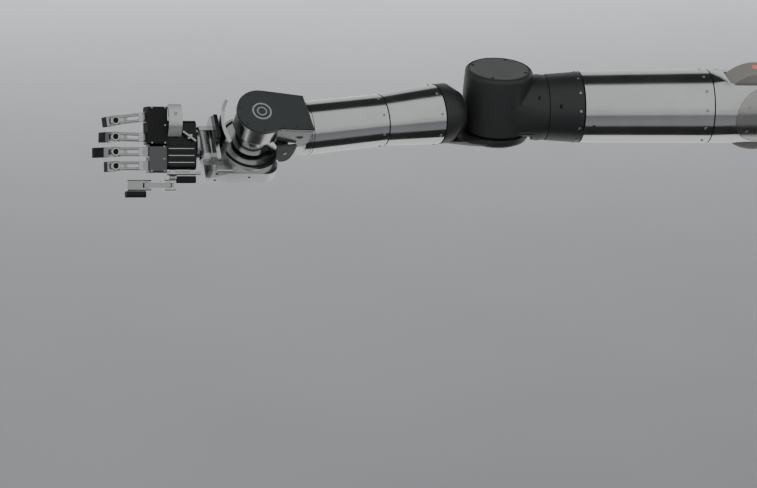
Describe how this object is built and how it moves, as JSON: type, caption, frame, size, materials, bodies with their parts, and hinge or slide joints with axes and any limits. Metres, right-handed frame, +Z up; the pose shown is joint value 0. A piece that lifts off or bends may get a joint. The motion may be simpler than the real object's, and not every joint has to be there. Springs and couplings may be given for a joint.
{
  "type": "humanoid collaborative robot arm with five-fingered hand",
  "caption": "Bare-metal and charcoal jointed robot arm with roll joints, drum elbow, drum wrist and a linkage hand curled to grip a handle.",
  "frame": {"origin": "centre of the shoulder mounting face", "axes": "+X out of the shoulder mounting face, the arm reaches along -X; +Z up, along the elbow axis"},
  "size_m": [0.8959, 0.1803, 0.1172],
  "materials": {
    "brushed_tube": "fine turned and brushed bare metal",
    "polished_link": "polished, near mirror",
    "charcoal_casing": "matte charcoal anodised",
    "graphite_cap": "matte graphite anodised",
    "slate_plate": "satin slate coating",
    "taupe_casing": "satin warm grey coating",
    "gloss_shell": "glossy black moulding",
    "black_rubber": "matte moulded rubber",
    "steel": "ground steel",
    "actuator_metal": "bead-blasted motor case",
    "status_lens": "diffuse red light window"
  },
  "bodies": {
    "shoulder_base": {"shoulder_flange": "steel", "shoulder_housing": "taupe_casing", "shoulder_status_light": "status_lens"},
    "shoulder_fork": {"shoulder_sleeve": "brushed_tube", "pivot_cover_front": "taupe_casing", "pivot_cover_rear": "taupe_casing", "shoulder_pitch_axle": "steel", "upper_roll_bearing": "steel"},
    "upper_arm": {"upper_arm_tube": "brushed_tube", "upper_roll_actuator": "actuator_metal", "elbow_collar": "charcoal_casing", "elbow_drum": "charcoal_casing", "elbow_top_cap": "graphite_cap", "elbow_actuator": "actuator_metal"},
    "forearm": {"elbow_yoke": "charcoal_casing", "elbow_ear_cap": "graphite_cap", "elbow_shaft": "steel", "forearm_tube_upper": "brushed_tube", "forearm_roll_actuator": "actuator_metal"},
    "lower_forearm": {"forearm_tube_lower": "brushed_tube", "forearm_roll_bearing": "steel", "wrist_frame": "polished_link", "wrist_drum": "polished_link", "wrist_tail_block": "brushed_tube", "wrist_top_plate": "slate_plate", "wrist_side_shield": "graphite_cap"},
    "hand_base": {"hand_base_housing": "brushed_tube", "wrist_shaft": "steel", "wrist_shell": "polished_link", "hand_base_cover": "gloss_shell", "wrist_pitch_pin": "steel"},
    "palm": {"palm_adapter": "steel", "palm_body": "gloss_shell", "palm_pad": "black_rubber", "knuckle_block_upper": "black_rubber", "knuckle_block_lower": "steel", "palm_back_cover": "brushed_tube", "palm_side_rail": "brushed_tube", "palm_push_rod": "brushed_tube", "thumb_motor": "black_rubber"},
    "little_proximal_link": {"little_proximal": "polished_link"},
    "little_distal_link": {"little_distal": "brushed_tube", "little_pin": "steel", "little_tip_pad": "black_rubber"},
    "ring_proximal_link": {"ring_proximal": "polished_link"},
    "ring_distal_link": {"ring_distal": "brushed_tube", "ring_pin": "steel", "ring_tip_pad": "black_rubber"},
    "middle_proximal_link": {"middle_proximal": "polished_link"},
    "middle_distal_link": {"middle_distal": "brushed_tube", "middle_pin": "steel", "middle_tip_pad": "black_rubber"},
    "index_proximal_link": {"index_proximal": "polished_link"},
    "index_distal_link": {"index_distal": "brushed_tube", "index_pin": "steel", "index_tip_pad": "black_rubber"},
    "thumb_base_link": {"thumb_base": "brushed_tube"},
    "thumb_proximal_link": {"thumb_proximal": "polished_link"},
    "thumb_distal_link": {"thumb_distal": "brushed_tube", "thumb_tip_pad": "black_rubber"}
  },
  "joints": [
    {"name": "shoulder_pitch", "type": "hinge", "parent": "shoulder_base", "child": "shoulder_fork", "pos_m": [-0.086, 0, 0], "axis": [0, 1, 0], "range_deg": [-80, 80]},
    {"name": "upper_arm_roll", "type": "hinge", "parent": "shoulder_fork", "child": "upper_arm", "pos_m": [-0.146, 0, 0], "axis": [1, 0, 0], "range_deg": [-170, 170]},
    {"name": "elbow_flex", "type": "hinge", "parent": "upper_arm", "child": "forearm", "pos_m": [-0.406, 0, 0], "axis": [0, 0, 1], "range_deg": [-14, 90]},
    {"name": "forearm_roll", "type": "hinge", "parent": "forearm", "child": "lower_forearm", "pos_m": [-0.55342, -0.03703, 0], "axis": [0.9699, 0.2436, 0], "range_deg": [-150, 120]},
    {"name": "wrist_yaw", "type": "hinge", "parent": "lower_forearm", "child": "hand_base", "pos_m": [-0.7086, -0.07601, 0], "axis": [0.1327, -0.5282, 0.8387], "range_deg": [-50, 50]},
    {"name": "wrist_pitch", "type": "hinge", "parent": "hand_base", "child": "palm", "pos_m": [-0.7675, -0.0776, -0.006], "axis": [-0.0777, 0.838, 0.5401], "range_deg": [-25, 25]},
    {"name": "little_knuckle", "type": "hinge", "parent": "palm", "child": "little_proximal_link", "pos_m": [-0.82511, -0.08354, 0.02633], "axis": [0.1075, -0.4125, -0.9046], "range_deg": [-5, 50]},
    {"name": "little_middle_joint", "type": "hinge", "parent": "little_proximal_link", "child": "little_distal_link", "pos_m": [-0.87128, -0.09222, 0.0248], "axis": [0.1075, -0.4125, -0.9046], "range_deg": [-78, 14]},
    {"name": "ring_knuckle", "type": "hinge", "parent": "palm", "child": "ring_proximal_link", "pos_m": [-0.82522, -0.09452, 0.00331], "axis": [-0.0389, -0.4353, -0.8995], "range_deg": [-5, 50]},
    {"name": "ring_middle_joint", "type": "hinge", "parent": "ring_proximal_link", "child": "ring_distal_link", "pos_m": [-0.87163, -0.10024, 0.00809], "axis": [-0.0389, -0.4353, -0.8995], "range_deg": [-70, 22]},
    {"name": "middle_knuckle", "type": "hinge", "parent": "palm", "child": "middle_proximal_link", "pos_m": [-0.82529, -0.10133, -0.01094], "axis": [-0.0044, -0.4307, -0.9025], "range_deg": [-5, 50]},
    {"name": "middle_middle_joint", "type": "hinge", "parent": "middle_proximal_link", "child": "middle_distal_link", "pos_m": [-0.87173, -0.10776, -0.00765], "axis": [-0.0044, -0.4307, -0.9025], "range_deg": [-54, 38]},
    {"name": "index_knuckle", "type": "hinge", "parent": "palm", "child": "index_proximal_link", "pos_m": [-0.82536, -0.10831, -0.02557], "axis": [-0.0044, -0.4307, -0.9025], "range_deg": [-5, 50]},
    {"name": "index_middle_joint", "type": "hinge", "parent": "index_proximal_link", "child": "index_distal_link", "pos_m": [-0.8718, -0.11474, -0.02227], "axis": [-0.0044, -0.4307, -0.9025], "range_deg": [-82, 10]},
    {"name": "thumb_rotation", "type": "hinge", "parent": "palm", "child": "thumb_base_link", "pos_m": [-0.80096, -0.103, -0.04207], "axis": [-0.9881, -0.1368, 0.0701], "range_deg": [-80, 10]},
    {"name": "thumb_bend", "type": "hinge", "parent": "thumb_base_link", "child": "thumb_proximal_link", "pos_m": [-0.8094, -0.10825, -0.05005], "axis": [-0.0044, -0.4307, -0.9025], "range_deg": [-5, 45]},
    {"name": "thumb_tip_bend", "type": "hinge", "parent": "thumb_proximal_link", "child": "thumb_distal_link", "pos_m": [-0.83509, -0.11181, -0.04822], "axis": [-0.0044, -0.4307, -0.9025], "range_deg": [-5, 40]}
  ],
  "couplings": [
    {"joint": "thumb_tip_bend", "follows": "thumb_bend", "ratio": 0.8}
  ]
}
